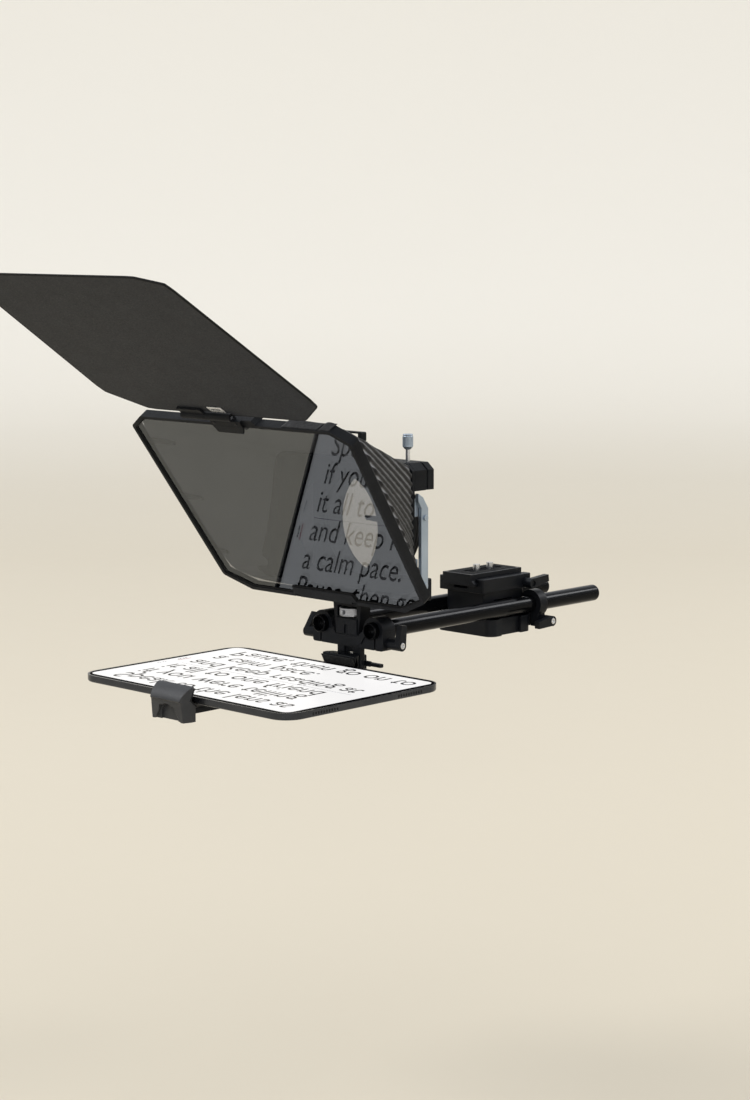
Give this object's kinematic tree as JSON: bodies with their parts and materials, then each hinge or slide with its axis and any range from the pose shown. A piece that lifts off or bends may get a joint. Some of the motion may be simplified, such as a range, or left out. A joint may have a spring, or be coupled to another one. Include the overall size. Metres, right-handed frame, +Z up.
{
  "type": "teleprompter",
  "caption": "Rod-mounted teleprompter: sloped beam-splitter glass in a pleated folding hood with a hinged shade flag, over a flat tablet held in a spring-loaded holder.",
  "frame": {"origin": "centre of the mouth of the tripod socket, in the underside of the base block", "axes": "+X to the right as the speaker sees the front, -Y towards the speaker, +Y towards the camera, +Z up"},
  "size_m": [0.2568, 0.6027, 0.3523],
  "materials": {
    "black_anodised": "matte bead-blasted black anodising",
    "rod_anodised": "satin black anodising",
    "grey_anodised": "satin blue-grey anodising",
    "steel": "bright turned steel",
    "knurled_steel": "knurled nickel",
    "hood_plastic": "fine matte moulded black",
    "flag_plastic": "matte black sheet",
    "pleated_cloth": "pleated coated cloth",
    "beam_splitter": "half-mirror coated glass",
    "rubber": "ribbed rubber",
    "tablet_metal": "fine-blasted dark grey",
    "tablet_screen": "lit screen behind glass"
  },
  "bodies": {
    "base": {"base_block": "black_anodised", "rod_clamp_left": "black_anodised", "rod_clamp_right": "black_anodised", "plate_receiver": "black_anodised"},
    "base_lever_left": {"base_lever_left": "black_anodised", "base_lever_screw_left": "steel"},
    "base_lever_right": {"base_lever_right": "black_anodised", "base_lever_screw_right": "steel"},
    "receiver_lock": {"receiver_lock_lever": "black_anodised"},
    "camera_plate": {"camera_plate": "black_anodised", "camera_plate_pad": "rubber"},
    "camera_screw_front": {"camera_screw_front": "steel"},
    "camera_screw_rear": {"camera_screw_rear": "steel"},
    "rods": {"support_rod_left": "rod_anodised", "support_rod_right": "rod_anodised"},
    "front_clamp": {"front_clamp_body": "black_anodised", "clamp_tower": "black_anodised", "tower_front_plate": "black_anodised", "height_plate": "black_anodised", "hood_base": "hood_plastic", "frame_hinge_pin": "steel", "collar_front_ring": "hood_plastic", "collar_top_front": "hood_plastic", "collar_top_rear": "hood_plastic", "collar_foot": "hood_plastic", "side_bracket_left": "grey_anodised", "side_bracket_right": "grey_anodised", "bracket_plates": "grey_anodised", "bracket_screws": "steel", "lens_gasket": "rubber", "accessory_loop": "hood_plastic"},
    "front_lever_left": {"front_lever_left": "black_anodised", "front_lever_screw_left": "steel"},
    "front_lever_right": {"front_lever_right": "black_anodised", "front_lever_screw_right": "steel"},
    "hood_wheel": {"hood_wheel": "knurled_steel"},
    "thumbscrew": {"thumbscrew_stem": "steel", "thumbscrew_knob": "grey_anodised"},
    "hood_frame": {"glass_frame": "hood_plastic", "beam_splitter_glass": "beam_splitter", "glass_clips": "hood_plastic", "bellows": "pleated_cloth", "flag_clip_block": "hood_plastic", "flag_clip_lip": "hood_plastic", "flag_clip_screws": "steel", "flag_hinge_pin": "steel"},
    "flag": {"flag_panel": "flag_plastic", "flag_hinge_leaf": "hood_plastic", "flag_latch_plate": "steel"},
    "tablet_holder": {"rear_jaw": "black_anodised", "rear_jaw_pad": "rubber", "jaw_keeper": "black_anodised", "arm_sleeve": "black_anodised", "return_spring": "steel"},
    "holder_lock": {"jaw_lock_lever": "black_anodised"},
    "front_jaw": {"arm_bar": "black_anodised", "front_jaw": "hood_plastic", "front_jaw_pad": "rubber"},
    "tablet": {"tablet_body": "tablet_metal", "tablet_glass": "tablet_screen"}
  },
  "joints": [
    {"name": "rods_slide", "type": "slide", "parent": "base", "child": "rods", "axis": [0, 1, 0], "range_m": [-0.06, 0.03]},
    {"name": "front_clamp_slide", "type": "slide", "parent": "rods", "child": "front_clamp", "axis": [0, 1, 0], "range_m": [-0.004, 0.04]},
    {"name": "front_lever_left_turn", "type": "hinge", "parent": "front_clamp", "child": "front_lever_left", "pos_m": [-0.05, -0.1655, 0.0134], "axis": [1, 0, 0], "range_deg": [-60, 75]},
    {"name": "front_lever_right_turn", "type": "hinge", "parent": "front_clamp", "child": "front_lever_right", "pos_m": [0.05, -0.1655, 0.0134], "axis": [1, 0, 0], "range_deg": [-90, 45]},
    {"name": "hood_wheel_spin", "type": "hinge", "parent": "front_clamp", "child": "hood_wheel", "pos_m": [0, -0.1675, 0.03705], "axis": [0, 0, 1], "continuous": true},
    {"name": "thumbscrew_spin", "type": "hinge", "parent": "front_clamp", "child": "thumbscrew", "pos_m": [0.042, -0.1435, 0.174], "axis": [0, 0, 1], "continuous": true},
    {"name": "hood_fold", "type": "hinge", "parent": "front_clamp", "child": "hood_frame", "pos_m": [0, -0.19623, 0.05469], "axis": [-1, 0, 0], "range_deg": [0, 33], "deforming": ["bellows"]},
    {"name": "flag_hinge", "type": "hinge", "parent": "hood_frame", "child": "flag", "pos_m": [0, -0.3112, 0.20983], "axis": [1, 0, 0], "range_deg": [-56, 155]},
    {"name": "holder_height", "type": "slide", "parent": "front_clamp", "child": "tablet_holder", "axis": [0, 0, 1], "range_m": [-0.009, 0.003]},
    {"name": "holder_lock_turn", "type": "hinge", "parent": "tablet_holder", "child": "holder_lock", "pos_m": [0.02, -0.1637, -0.007], "axis": [1, 0, 0], "range_deg": [-60, 60]},
    {"name": "front_jaw_slide", "type": "slide", "parent": "tablet_holder", "child": "front_jaw", "axis": [0, -1, 0], "range_m": [0, 0.04], "stiffness_N_per_m": 150, "springref_m": -0.03},
    {"name": "tablet_slide", "type": "slide", "parent": "tablet_holder", "child": "tablet", "axis": [1, 0, 0], "range_m": [-0.1, 0.1]},
    {"name": "base_lever_left_turn", "type": "hinge", "parent": "base", "child": "base_lever_left", "pos_m": [-0.045, 0.035, 0.01], "axis": [1, 0, 0], "range_deg": [-45, 90]},
    {"name": "base_lever_right_turn", "type": "hinge", "parent": "base", "child": "base_lever_right", "pos_m": [0.045, 0.035, 0.01], "axis": [1, 0, 0], "range_deg": [-45, 90]},
    {"name": "receiver_lock_turn", "type": "hinge", "parent": "base", "child": "receiver_lock", "pos_m": [0.03, 0.028, 0.043], "axis": [1, 0, 0], "range_deg": [0, 90]},
    {"name": "camera_plate_slide", "type": "slide", "parent": "base", "child": "camera_plate", "axis": [0, 1, 0], "range_m": [-0.02, 0.02]},
    {"name": "camera_screw_front_spin", "type": "hinge", "parent": "camera_plate", "child": "camera_screw_front", "pos_m": [0, -0.009, 0.054], "axis": [0, 0, 1], "continuous": true},
    {"name": "camera_screw_rear_spin", "type": "hinge", "parent": "camera_plate", "child": "camera_screw_rear", "pos_m": [0, 0.009, 0.054], "axis": [0, 0, 1], "continuous": true}
  ]
}
